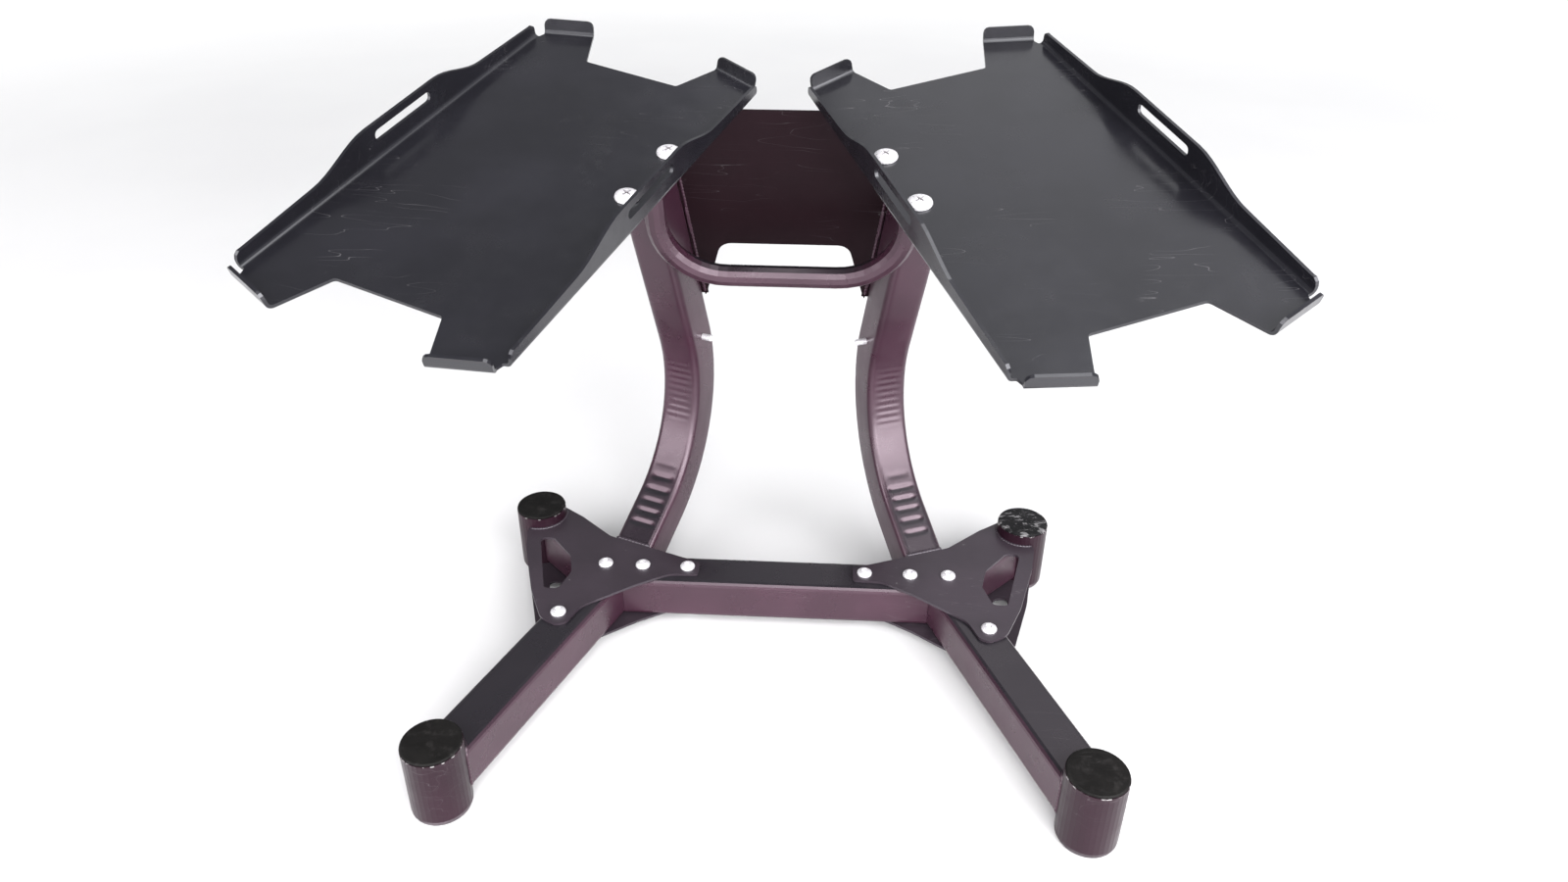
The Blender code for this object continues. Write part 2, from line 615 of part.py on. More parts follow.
# turned-down rib under the bracket's long outer edge
a, b = Vector((0.010, -0.0760, 0)), Vector((-0.120, 0.0232, 0))
run = (b - a).normalized()
rib = block("bracket_rib", ((b - a).length, 0.005, 0.018),
            TRAY @ frame(run, Vector((-run.y, run.x, 0)), Vector((0, 0, 1)),
                         (a + b) / 2 + Vector((0, 0, bracket_z - 0.0100))))
put(rib, CUTTERS)
boolean(bracket, rib, "UNION")
bracket = finish(realise(bracket), [], PLATE_PAINT, smooth=False)
both("tray_bracket", bracket, PLATE_PAINT)

for i, (u, v) in enumerate(SCREWS):
    r, h = SCREW_HEAD_R, SCREW_HEAD_H
    dome = [(r * math.cos(math.radians(t)), GAP + 0.0010 + (h - 0.0010) * math.sin(math.radians(t)))
            for t in (70, 45, 20, 0)]
    low = -SHEET - BRACKET - 0.0110
    screw = turned("screw", [(0, GAP + h)] + dome + [(r - 0.0002, GAP), (SCREW_R, GAP), (SCREW_R, low),
                   (0, low)], TRAY @ Matrix.Translation((u, v, 0)), 24)
    cross = []
    for j in (0, 1):
        blade = block("recess_%d_%d" % (i + 1, j), (0.0092, 0.0018, 0.0064),
                      TRAY @ Matrix.Translation((u, v, GAP + h)) @ Matrix.Rotation(math.radians(20 + 90 * j), 4, "Z"))
        cross.append(put(blade, CUTTERS))
    screw = finish(screw, cross, ZINC)
    both("tray_screw_%d" % (i + 1), screw, ZINC)
    hexagon = [(u + 0.0075 * math.cos(math.radians(60 * k)), v + 0.0075 * math.sin(math.radians(60 * k)))
               for k in range(6)]
    nut = flat("nut", [hexagon, circle(SCREW_R + GAP, 16, u, v)], 0.0065,
               on_tray(-SHEET - 2 * GAP - BRACKET - 0.0065 / 2))
    nut = finish(nut, [], ZINC)
    both("tray_nut_%d" % (i + 1), nut, ZINC)

# ------------------------------------------------------------- rear panel
# the top straights' axis, and the plane through X that follows their lean
lean3 = (F * math.sin(LEAN) + Z * math.cos(LEAN)).normalized()
slope = lean3.y / lean3.z                              # y gained for each z
axis_p = at(path[-2].x, 0, path[-2].y)
face_n = (F * math.cos(LEAN) - Z * math.sin(LEAN)).normalized()   # out of the front face
panel_in = axis_p - face_n * (TUBE / 2 - 0.0095)       # panel line, near the rear of the inner face
panel_n = Vector((1, 0, 0)).cross(Vector((0, lean3.y, lean3.z))).normalized()
up_plane = Vector((0, lean3.y, lean3.z)).normalized()


def panel_edge(z):
    """x of the inner face of the right upright where the panel meets it."""
    y = panel_in.y + slope * (z - panel_in.z)
    inner = at(0, -TUBE / 2 - GAP, 0)
    return inner.x - (y - inner.y) * W.y / W.x


def on_panel(x, z):
    return (x, (z - panel_in.z) / up_plane.z)


half = [(0.0, PANEL_CUT_TOP), (0.0735, PANEL_CUT_TOP), (0.0925, PANEL_TIP + 0.006),
        (panel_edge(PANEL_TIP) - 0.0003, PANEL_TIP), (panel_edge(PANEL_TOP) - 0.0003, PANEL_TOP), (0.0, PANEL_TOP)]
right = [on_panel(x, z) for x, z in half]
panel_loop = fillet(right[1:5] + [(-x, y) for x, y in right[1:5][::-1]],
                    [0.016, 0.002, 0.0006, 0.004, 0.004, 0.0006, 0.002, 0.016], 5)
panel = flat("rear_panel", [panel_loop], PANEL,
             frame(Vector((1, 0, 0)), up_plane, Vector((1, 0, 0)).cross(up_plane), Vector((0, panel_in.y, panel_in.z))))
panel = finish(panel, [top_cut], FRAME_PAINT)

# ---------------------------------------------------------------- U-shaped bar
front_line = axis_p + face_n * (TUBE / 2)
inner_corner = front_line - W * (TUBE / 2)
bar_origin = Vector((0, inner_corner.y, inner_corner.z)) + panel_n * (1 if panel_n.y < 0 else -1) * (UBAR_R + 0.0012)
bar_n = panel_n
t_bottom = (UBAR_Z - bar_origin.z) / up_plane.z
leg_x = UBAR_HALF_STRAIGHT + UBAR_BEND


def leg_top():
    """How far up the bar's leg reaches: just under the bracket."""
    under = TRAY @ Vector((0, 0, -SHEET - GAP - BRACKET - GAP))
    p0 = bar_origin + Vector((leg_x, 0, 0))
    return (under - p0).dot(n_axis) / up_plane.dot(n_axis)


ends = leg_top()
arc = [(UBAR_HALF_STRAIGHT + UBAR_BEND * math.sin(math.radians(a)),
        t_bottom + UBAR_BEND * (1 - math.cos(math.radians(a)))) for a in range(0, 91, 9)]
right_path = arc + [(leg_x, ends + 0.03)]
bar_path = [(-x, y) for x, y in right_path[::-1]] + right_path
bar = bpy.data.curves.new("u_bar", "CURVE")
bar.dimensions = "3D"
bar.bevel_depth = UBAR_R
bar.bevel_resolution = 4
bar.use_fill_caps = True
s = bar.splines.new("POLY")
s.points.add(len(bar_path) - 1)
for point, (x, y) in zip(s.points, bar_path):
    point.co = (x, y, 0, 1)
bar = from_mesh("u_bar", bar, frame(Vector((1, 0, 0)), up_plane, Vector((1, 0, 0)).cross(up_plane), bar_origin))
bar = realise(bar, dissolve=False)
leg_end = bar_origin + Vector((leg_x, 0, 0)) + up_plane * ends
right_top = half_space("bar_top_right", leg_end, n_axis, 0.12)
left_top = half_space("bar_top_left", Vector((-leg_end.x, leg_end.y, leg_end.z)),
                      Vector((-n_axis.x, n_axis.y, n_axis.z)), 0.12)
bar = finish(bar, [right_top, left_top], FRAME_PAINT)
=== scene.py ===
"""Looks of the stand for a pair of adjustable dumbbells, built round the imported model."""
import math
import random

import bmesh
import bpy
from mathutils import Matrix, Vector, noise


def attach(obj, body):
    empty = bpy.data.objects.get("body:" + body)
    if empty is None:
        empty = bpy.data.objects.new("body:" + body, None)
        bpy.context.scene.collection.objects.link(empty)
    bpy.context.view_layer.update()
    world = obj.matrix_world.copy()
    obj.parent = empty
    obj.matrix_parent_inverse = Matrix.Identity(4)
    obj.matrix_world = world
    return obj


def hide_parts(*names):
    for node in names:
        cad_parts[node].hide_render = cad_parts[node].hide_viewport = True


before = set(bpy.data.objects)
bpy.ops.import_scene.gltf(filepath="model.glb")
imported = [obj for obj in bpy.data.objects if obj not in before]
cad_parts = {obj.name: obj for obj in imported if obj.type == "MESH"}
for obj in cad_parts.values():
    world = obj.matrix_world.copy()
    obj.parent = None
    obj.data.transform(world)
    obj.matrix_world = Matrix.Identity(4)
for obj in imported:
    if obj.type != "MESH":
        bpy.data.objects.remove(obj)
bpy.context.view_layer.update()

# ------------------------------------------------------- dimensions of the part
ALPHA = math.radians(21.7)
YC = 0.0567
SIDE_W = 0.1815
TUBE = 0.050
TUBE_BOTTOM, TUBE_TOP = 0.016, 0.066
TUBE_R = 0.0065
FOOT_R = 0.030
FOOT_TOP = 0.0848
PLATE_TOP = 0.0693
ELBOW_P = 0.0172
RISE = math.radians(30.7)
LEAN = math.radians(18.3)
FIRST_STRAIGHT = 0.0718
BEND_R = 0.181
TUBE_MID = 0.041
F = Vector((math.sin(ALPHA), -math.cos(ALPHA), 0))
W = Vector((math.cos(ALPHA), math.sin(ALPHA), 0))
Z = Vector((0, 0, 1))
ORIGIN = W * SIDE_W + Vector((0, YC, 0))
TRAY_SLOPE, TRAY_ROLL = math.radians(13.7), math.radians(8.6)
U = (F * math.cos(TRAY_SLOPE) - Z * math.sin(TRAY_SLOPE)).normalized()
N0 = W.cross(-U).normalized()
V = (W * math.cos(TRAY_ROLL) + N0 * math.sin(TRAY_ROLL)).normalized()
N = U.cross(V).normalized()
TRAY_O = ORIGIN + F * 0.1587 - W * 0.0030 + Z * 0.5754


def at(p, q, z):
    return ORIGIN + F * p + W * q + Z * z


def on_tray(u, v, h):
    return TRAY_O + U * u + V * v + N * h


def mirror(points):
    return [Vector((-p.x, p.y, p.z)) for p in points]


FRONT_FOOT = at(0.3908, 0, 0)
REAR_FOOT = at(0.0227, 0.1318, 0)

# ------------------------------------------------------------------- materials
def nodes_of(name):
    m = bpy.data.materials.new(name)
    m.use_nodes = True
    nt = m.node_tree
    return m, nt, nt.nodes["Principled BSDF"]


class Net:
    """Small shorthand for building node trees."""

    def __init__(self, nt):
        self.nt = nt
        self.co = self.add("ShaderNodeTexCoord").outputs["Object"]

    def add(self, kind, **values):
        n = self.nt.nodes.new(kind)
        for k, v in values.items():
            setattr(n, k, v)
        return n

    def link(self, a, b):
        self.nt.links.new(a, b)

    def put(self, socket, value):
        if hasattr(value, "is_output") or isinstance(value, bpy.types.NodeSocket):
            self.link(value, socket)
        else:
            socket.default_value = value

    def noise(self, scale, detail=2.0, rough=0.5, distortion=0.0, co=None):
        n = self.add("ShaderNodeTexNoise")
        n.inputs["Scale"].default_value = scale
        n.inputs["Detail"].default_value = detail
        n.inputs["Roughness"].default_value = rough
        n.inputs["Distortion"].default_value = distortion
        self.link(co or self.co, n.inputs["Vector"])
        return n.outputs["Fac"]

    def voronoi(self, scale, co=None, feature="F1"):
        n = self.add("ShaderNodeTexVoronoi", feature=feature)
        n.inputs["Scale"].default_value = scale
        self.link(co or self.co, n.inputs["Vector"])
        return n.outputs["Distance"]

    def stretch(self, scale, rotation=(0, 0, 0), co=None):
        n = self.add("ShaderNodeMapping")
        n.inputs["Scale"].default_value = scale
        n.inputs["Rotation"].default_value = rotation
        self.link(co or self.co, n.inputs["Vector"])
        return n.outputs["Vector"]

    def span(self, value, low, high, a=0.0, b=1.0, smooth=True):
        n = self.add("ShaderNodeMapRange")
        n.interpolation_type = "SMOOTHSTEP" if smooth else "LINEAR"
        n.inputs["From Min"].default_value = low
        n.inputs["From Max"].default_value = high
        n.inputs["To Min"].default_value = a
        n.inputs["To Max"].default_value = b
        self.link(value, n.inputs["Value"])
        return n.outputs["Result"]

    def math(self, op, a, b=0.0, c=0.0):
        n = self.add("ShaderNodeMath", operation=op)
        for socket, value in zip(n.inputs, (a, b, c)):
            self.put(socket, value)
        return n.outputs[0]

    def mix(self, factor, a, b):
        n = self.add("ShaderNodeMix", data_type="RGBA")
        self.put(n.inputs["Factor"], factor)
        for socket, value in ((n.inputs[6], a), (n.inputs[7], b)):
            self.put(socket, (*value, 1) if isinstance(value, tuple) else value)
        return n.outputs[2]

    def xyz(self, co=None):
        n = self.add("ShaderNodeSeparateXYZ")
        self.link(co or self.co, n.inputs[0])
        return n.outputs

    def bump(self, height, strength, distance, below=None):
        n = self.add("ShaderNodeBump")
        n.inputs["Strength"].default_value = strength
        n.inputs["Distance"].default_value = distance
        self.link(height, n.inputs["Height"])
        if below is not None:
            self.link(below, n.inputs["Normal"])
        return n.outputs["Normal"]


def scratches(net, seed, scale=26.0, width=0.03, amount=0.5):
    """Thin, sparse straight marks in a few directions."""
    total = None
    for k, angle in enumerate((0.4, 1.35, 2.3)):
        co = net.stretch((scale * 0.35, scale * 3.0, scale * 3.0), (0.3 * k, 0.2, angle + seed))
        n = net.noise(1.0, 1.0, 0.4, 0.3, co)
        line = net.span(net.math("ABSOLUTE", net.math("SUBTRACT", n, 0.5)), 0.0, width * 0.12, 1.0, 0.0)
        where = net.span(net.noise(scale * 0.33, 1.0, 0.5, 0.0, net.stretch((1, 1, 1), (k, seed, 0))), 0.60, 0.70)
        line = net.math("MULTIPLY", line, where)
        total = line if total is None else net.math("MAXIMUM", total, line)
    return net.math("MULTIPLY", total, amount)


def powder_coat(name, base, rough, spec, tint, peel=0.16, wear=None, dust=0.10, upper=None):
    m, nt, b = nodes_of(name)
    net = Net(nt)
    cloud = net.noise(9.0, 4.0, 0.55)
    fine = net.noise(190.0, 2.0, 0.5)
    dark = tuple(c * 0.84 for c in base)
    light = tuple(c * 1.18 for c in base)
    colour = net.mix(net.span(cloud, 0.34, 0.68), dark, light)
    if upper is not None:          # painted light by orientation: upward faces take a darker neutral colour as painted shade, while side faces keep the plum base as painted reflection
        normal = net.add("ShaderNodeNewGeometry").outputs["Normal"]
        colour = net.mix(net.span(net.xyz(normal)[2], 0.55, 0.95), colour, upper)
    # settled dust and light smudges
    smudge = net.math("MULTIPLY", net.span(net.noise(17.0, 5.0, 0.62, 0.5), 0.56, 0.74), net.span(fine, 0.25, 0.75))
    colour = net.mix(net.math("MULTIPLY", smudge, dust), colour, tuple(min(1, c * 2.3 + 0.03) for c in base))
    specks = net.span(net.voronoi(310.0), 0.055, 0.085, 1.0, 0.0)
    specks = net.math("MULTIPLY", specks, net.span(net.noise(34.0, 2.0), 0.60, 0.68))
    colour = net.mix(net.math("MULTIPLY", specks, 0.10), colour, (0.34, 0.33, 0.34))
    marks = scratches(net, len(name) * 0.37)
    colour = net.mix(net.math("MULTIPLY", marks, 0.30), colour, (0.26, 0.25, 0.26))
    roughness = net.math("ADD", net.span(net.noise(23.0, 4.0, 0.6), 0.3, 0.72, rough - 0.055, rough + 0.075),
                         net.math("MULTIPLY", smudge, 0.12))
    roughness = net.math("ADD", roughness, net.math("MULTIPLY", marks, 0.2))
    metallic = None
    if wear is not None:
        mask = wear(net)
        colour = net.mix(mask, colour, (0.62, 0.60, 0.60))
        roughness = net.mix(mask, roughness, (0.33, 0.33, 0.33))
        metallic = mask
    nt.links.new(colour, b.inputs["Base Color"])
    nt.links.new(roughness, b.inputs["Roughness"])
    if metallic is not None:
        nt.links.new(metallic, b.inputs["Metallic"])
    b.inputs["Specular IOR Level"].default_value = spec
    b.inputs["Specular Tint"].default_value = (*tint, 1)
    # orange peel of the coat, over the faint waviness of rolled steel
    peel_n = net.bump(net.noise(420.0, 2.5, 0.55), peel, 0.00035)
    wave = net.bump(net.noise(38.0, 2.0, 0.5), 0.10, 0.0006, peel_n)
    nt.links.new(wave, b.inputs["Normal"])
    return m


# near-black paint whose plum cast is painted reflection of a reddish floor
BLACK_WITH_PAINTED_PLUM_REFLECTION = (0.0255, 0.0088, 0.0165)
# colour for upward-facing frame faces: painted shade, darker and less plum than the sides
UPPER_FACE_PAINTED_SHADE = (0.0080, 0.0074, 0.0095)
# plum specular tint: painted reflection colour laid on the highlights
PAINTED_PLUM_REFLECTION_TINT = (1.0, 0.87, 0.95)


def rim_chips(net):
    """Bare metal chips on the posts' upper rims."""
    x, y, z = net.xyz()
    rim = net.span(z, FOOT_TOP - 0.0041, FOOT_TOP - 0.0027)
    chips = net.span(net.noise(150.0, 3.0, 0.6), 0.565, 0.60)
    return net.math("MULTIPLY", rim, chips)


def lip_chips(net):
    """Small chips at the trays' end lips and flange corners."""
    co = net.voronoi(46.0)
    fine = net.span(net.noise(260.0, 3.0, 0.6), 0.55, 0.60)
    rare = net.span(co, 0.10, 0.16, 1.0, 0.0)
    low = net.span(net.noise(15.0, 1.0), 0.62, 0.66)
    return net.math("MULTIPLY", net.math("MULTIPLY", rare, fine), low)


frame_paint = powder_coat("frame_powder_coat", BLACK_WITH_PAINTED_PLUM_REFLECTION, 0.30, 0.60, PAINTED_PLUM_REFLECTION_TINT, dust=0.05, upper=UPPER_FACE_PAINTED_SHADE)
# the post and panel coats carry the same plum cast, partly dark paint and partly painted reflection
post_paint = powder_coat("post_powder_coat", (0.0110, 0.0032, 0.0068), 0.33, 0.26, PAINTED_PLUM_REFLECTION_TINT, wear=rim_chips, dust=0.05)
panel_paint = powder_coat("panel_powder_coat", (0.0060, 0.0018, 0.0030), 0.45, 0.12, PAINTED_PLUM_REFLECTION_TINT, dust=0.01)
plate_paint = powder_coat("plate_powder_coat", (0.0205, 0.0150, 0.0200), 0.36, 0.50, (0.96, 0.93, 1.0), wear=lip_chips, dust=0.03)
tray_paint = powder_coat("tray_powder_coat", (0.0066, 0.0064, 0.0084), 0.21, 0.50, (0.95, 0.96, 1.0), peel=0.06,
                         wear=None, dust=0.02)


def zinc(name, rough=0.30):
    m, nt, b = nodes_of(name)
    net = Net(nt)
    cloud = net.noise(140.0, 3.0, 0.6)
    colour = net.mix(net.span(cloud, 0.3, 0.7), (0.58, 0.565, 0.59), (0.72, 0.71, 0.73))
    spots = net.math("MULTIPLY", net.span(net.voronoi(620.0), 0.10, 0.16, 1.0, 0.0), 0.12)
    colour = net.mix(spots, colour, (0.30, 0.28, 0.29))
    nt.links.new(colour, b.inputs["Base Color"])
    nt.links.new(net.span(net.noise(420.0, 3.0, 0.6), 0.3, 0.7, rough - 0.06, rough + 0.12), b.inputs["Roughness"])
    b.inputs["Metallic"].default_value = 0.55
    lines = net.noise(1.0, 2.0, 0.5, 0.0, net.stretch((2200, 260, 260), (0.2, 0.1, 0.8)))
    nt.links.new(net.bump(lines, 0.05, 0.0002, net.bump(net.noise(700.0, 2.0), 0.05, 0.0003)), b.inputs["Normal"])
    return m


bright_zinc = zinc("bright_zinc")


def plastic(name, base, rough, scuffed=0.0):
    m, nt, b = nodes_of(name)
    net = Net(nt)
    cloud = net.noise(30.0, 4.0, 0.6)
    colour = net.mix(net.span(cloud, 0.3, 0.7), tuple(c * 0.75 for c in base), tuple(c * 1.35 for c in base))
    marks = scratches(net, 1.1, 60.0, 0.10, 1.0)
    dust = net.math("MULTIPLY", net.span(net.noise(75.0, 4.0, 0.65), 0.52, 0.72), 0.06)
    colour = net.mix(dust, colour, (0.13, 0.12, 0.12))
    if scuffed:
        patch = net.math("MULTIPLY", net.span(net.noise(48.0, 5.0, 0.7, 1.4, net.stretch((1, 2.2, 1), (0, 0, 0.5))), 0.54, 0.60),
                         scuffed)
        colour = net.mix(patch, colour, (0.42, 0.41, 0.42))
    colour = net.mix(net.math("MULTIPLY", marks, 0.10), colour, (0.22, 0.21, 0.21))
    nt.links.new(colour, b.inputs["Base Color"])
    nt.links.new(net.span(net.noise(160.0, 3.0), 0.3, 0.7, rough - 0.06, rough + 0.10), b.inputs["Roughness"])
    nt.links.new(net.bump(net.noise(900.0, 2.0, 0.6), 0.25, 0.0003, net.bump(net.voronoi(1500.0), 0.12, 0.0002)),
                 b.inputs["Normal"])
    b.inputs["Specular IOR Level"].default_value = 0.10
    return m


plug_plastic = plastic("plug_plastic", (0.0045, 0.0042, 0.0040), 0.60)
scuffed_plug = plastic("scuffed_plug_plastic", (0.0060, 0.0060, 0.0066), 0.50, 0.28)
glide_plastic = plastic("glide_plastic", (0.060, 0.050, 0.056), 0.55)

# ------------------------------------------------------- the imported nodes' looks
def set_material(obj, m):
    obj.data.materials.clear()
    obj.data.materials.append(m)


def bevel(obj, width, segments=2, angle=38):
    mod = obj.modifiers.new("edges", "BEVEL")
    mod.width = width
    mod.segments = segments
    mod.limit_method = "ANGLE"
    mod.angle_limit = math.radians(angle)
    mod.harden_normals = True
    mod.use_clamp_overlap = True
    return mod


for name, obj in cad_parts.items():
    if "tray_screw" in name or "bolt" in name or "nut" in name or "pin" in name:
        set_material(obj, bright_zinc)
    elif "tray_bracket" in name or "gusset_plate" in name:
        set_material(obj, plate_paint)
    elif "tray" in name:
        set_material(obj, tray_paint)
    elif name == "right_rear_top_plug":
        set_material(obj, scuffed_plug)
    elif "plug" in name:
        set_material(obj, plug_plastic)
    elif "glide" in name:
        set_material(obj, glide_plastic)
    elif "post" in name:
        set_material(obj, post_paint)
    elif name == "rear_panel":
        set_material(obj, panel_paint)
    else:
        set_material(obj, frame_paint)
    if "tray_bracket" in name or "gusset_plate" in name or name == "rear_panel":
        bevel(obj, 0.0006)
    elif name.endswith("_tray"):
        bevel(obj, 0.0007, 2, 50)
    elif "nut" in name:
        bevel(obj, 0.0006)
    elif "post" in name:
        bevel(obj, 0.0006, 2, 50)
    elif name in ("crossbar", "left_front_arm", "right_front_arm", "left_rear_arm", "right_rear_arm"):
        bevel(obj, 0.0003, 1, 60)


# ---------------------------------------------------------------- mesh helpers
def make(name, verts, faces, m, smooth=True, angle=40):
    mesh = bpy.data.meshes.new(name)
    mesh.from_pydata([tuple(v) for v in verts], [], faces)
    bm = bmesh.new()
    bm.from_mesh(mesh)
    bmesh.ops.recalc_face_normals(bm, faces=bm.faces)
    bm.to_mesh(mesh)
    bm.free()
    if smooth:
        mesh.shade_smooth()
        mesh.set_sharp_from_angle(angle=math.radians(angle))
    mesh.materials.append(m)
    obj = bpy.data.objects.new(name, mesh)
    bpy.context.scene.collection.objects.link(obj)
    return obj


def ridden(obj):
    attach(obj, "root")
    return obj


def bead(name, points, radius, m, seed=0, closed=False, flat=0.62):
    """A weld bead: a low rippled rope along the points."""
    rnd = random.Random(seed)
    # even spacing
    path = [Vector(p) for p in points]
    step = 0.0011
    pts = [path[0]]
    for a, b in zip(path, path[1:]):
        n = max(1, round((b - a).length / step))
        pts += [a.lerp(b, (k + 1) / n) for k in range(n)]
    ring = 10
    verts, faces = [], []
    phase = 0.0
    for i, p in enumerate(pts):
        t = (pts[min(i + 1, len(pts) - 1)] - pts[max(i - 1, 0)]).normalized()
        a = t.orthogonal().normalized() if i == 0 else (side - t * side.dot(t)).normalized()
        side = a
        c = t.cross(a)
        phase += 0.75 + rnd.uniform(-0.12, 0.12)
        end = min(i, len(pts) - 1 - i)
        taper = min(1.0, math.sqrt((end + 0.25) / 3.0))
        r = radius * taper * (0.90 + 0.10 * math.sin(phase * 2) + rnd.uniform(-0.03, 0.03))
        lag = 0.35 * radius
        for k in range(ring):
            w = 2 * math.pi * k / ring
            verts.append(p + (a * math.cos(w) + c * math.sin(w)) * r - t * lag * math.cos(w) * 0.0)
    count = len(pts)
    for i in range(count - 1):
        for k in range(ring):
            j = (k + 1) % ring
            faces.append((i * ring + k, i * ring + j, (i + 1) * ring + j, (i + 1) * ring + k))
    faces.append(tuple(range(ring))[::-1])
    faces.append(tuple((count - 1) * ring + k for k in range(ring)))
    return ridden(make(name, verts, faces, m, angle=80))


def both_beads(name, points, radius, m, seed=0):
    bead("right_" + name, points, radius, m, seed)
    bead("left_" + name, mirror(points), radius, m, seed + 50)


# ------------------------------------------------------- uprights, with wrinkles
def upright_path():
    """Stations along the upright's axis in the side plane: (point, direction, angle, s)."""
    stations = []
    up = Vector((-math.cos(RISE), math.sin(RISE)))
    elbow = Vector((ELBOW_P, TUBE_MID))
    n = 36
    for k in range(n):
        s = FIRST_STRAIGHT * k / n
        stations.append((elbow + up * s, up, 0.0, s))
    bend0 = elbow + up * FIRST_STRAIGHT
    centre = bend0 + BEND_R * Vector((math.sin(RISE), math.cos(RISE)))
    sweep = math.pi / 2 - RISE + LEAN
    arc = 150
    for k in range(arc + 1):
        phi = -(math.pi / 2 - RISE) + sweep * k / arc
        p = centre + BEND_R * Vector((-math.cos(phi), math.sin(phi)))
        d = Vector((math.sin(phi), math.cos(phi)))
        stations.append((p, d, k / arc, FIRST_STRAIGHT + BEND_R * sweep * k / arc))
    last, d = stations[-1][0], stations[-1][1]
    s0 = stations[-1][3]
    for k in range(1, 22):
        s = 0.36 * k / 21
        stations.append((last + d * s, d, 1.0, s0 + s))
    return stations


def outline(r, h=TUBE / 2, arc=7, flat=11):
    """The tube's section as (across, toward the front face) with its flats divided."""
    pts = []
    for quarter, (cx, cy, start) in enumerate(((h - r, h - r, 0), (-(h - r), h - r, 90), (-(h - r), -(h - r), 180),
                                               (h - r, -(h - r), 270))):
        for k in range(arc + 1):
            t = math.radians(start + 90 * k / arc)
            pts.append((cx + r * math.cos(t), cy + r * math.sin(t)))
        if quarter == 0:          # along the front face, across it
            for k in range(1, flat):
                pts.append((h - r - 2 * (h - r) * k / flat, h))
        if quarter == 1:
            for k in range(1, 3):
                pts.append((-h, h - r - 2 * (h - r) * k / 3))
        if quarter == 2:
            for k in range(1, 3):
                pts.append((-(h - r) + 2 * (h - r) * k / 3, -h))
        if quarter == 3:
            for k in range(1, 3):
                pts.append((h, -(h - r) + 2 * (h - r) * k / 3))
    return pts


def smoothstep(a, b, x):
    t = max(0.0, min(1.0, (x - a) / (b - a)))
    return t * t * (3 - 2 * t)


def wrinkle(across, s, t, side):
    """How far the inner face of the bend is pressed in."""
    first, last = 0.024, FIRST_STRAIGHT + BEND_R * (math.pi / 2 - RISE + LEAN)
    if s < first or s > last:
        return 0.0
    run = s - first
    strong = smoothstep(0.0, 0.010, run) * (1 - smoothstep(0.066, 0.112, run))
    faint = smoothstep(0.160, 0.185, run) * (1 - smoothstep(0.235, 0.270, run))
    pitch = 0.0178 + 0.0007 * math.sin(run * 60 + side)
    lobe = 0.5 - 0.5 * math.cos(2 * math.pi * run / pitch)
    lobe = lobe ** 2.0
    fine = 0.5 - 0.5 * math.cos(2 * math.pi * run / 0.0098)
    edge = 1 - smoothstep(0.0105, 0.0170, abs(across) + 0.0010 * math.sin(run * 210 + side * 2))
    return edge * (strong * 0.0024 * lobe + faint * 0.00060 * fine)


def upright(side_name, sign, phase):
    stations = upright_path()
    elbow = at(ELBOW_P, 0, TUBE_MID)
    up3 = (-F * math.cos(RISE) + Z * math.sin(RISE)).normalized()
    mitre = (-F + up3).normalized()
    top_n = N
    top_p = TRAY_O - N * (0.003 + 0.0003 + 0.005 + 0.0003)
    section = outline(0.0078)
    inner = outline(0.0053, TUBE / 2 - 0.0025)
    verts, faces = [], []

    def place(p, d, across, front):
        # front: toward the inside of the bend
        out = Vector((d.y, -d.x))
        q = p + out * front
        return at(q.x, across, q.y)

    n = len(section)
    first = 36                                   # where the bend starts
    last = len(stations) - 22                    # and where it ends
    for index, (p, d, t, s) in enumerate(stations):
        direction = F * d.x + Z * d.y
        for across, front in section:
            depth = wrinkle(across, s, t, phase) if front > TUBE / 2 - 0.0006 else 0.0
            v = place(p, d, across, front - depth)
            if index < first:                    # share out the straight from the mitre to the bend
                q, e = stations[first][0], stations[first][1]
                v = place(q, e, across, front)
                reach = ((v - elbow).dot(mitre) - 0.00015) / direction.dot(mitre)
                v = v - direction * reach * (1 - index / first) - (F * e.y - Z * e.x) * depth
            elif index > last:                   # and from the bend to the tray's bracket
                q, e = stations[last][0], stations[last][1]
                v = place(q, e, across, front)
                reach = -(v - top_p).dot(top_n) / direction.dot(top_n)
                v = v + direction * reach * (index - last) / (len(stations) - 1 - last)
            verts.append(v)
    count = len(stations)
    for i in range(count - 1):
        for k in range(n):
            j = (k + 1) % n
            faces.append((i * n + k, i * n + j, (i + 1) * n + j, (i + 1) * n + k))
    # mouths: a wall's thickness of flat rim, then inside down a little
    for end, index in ((0, 0), (1, count - 1)):
        base = len(verts)
        p, d, t, s = stations[index]
        direction = F * d.x + Z * d.y
        for depth in (0.0, 0.03):
            for across, front in inner:
                v = place(p, d, across, front)
                if end == 0:
                    v = v - direction * (((v - elbow).dot(mitre) - 0.00015) / direction.dot(mitre)) + direction * depth
                else:
                    v = v - direction * ((v - top_p).dot(top_n) / direction.dot(top_n)) - direction * depth
                verts.append(v)
        outer0 = index * n
        for k in range(n):
            j = (k + 1) % n
            faces.append((outer0 + k, outer0 + j, base + j, base + k))
            faces.append((base + k, base + j, base + n + j, base + n + k))
        faces.append(tuple(base + n + k for k in range(n)))
    if sign < 0:
        verts = mirror(verts)
    obj = make(side_name + "_upright_tube", verts, faces, frame_paint, angle=50)
    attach(obj, "root")
    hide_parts(side_name + "_curved_upright")
    return obj


upright("right", 1, 0.4)
upright("left", -1, 1.9)

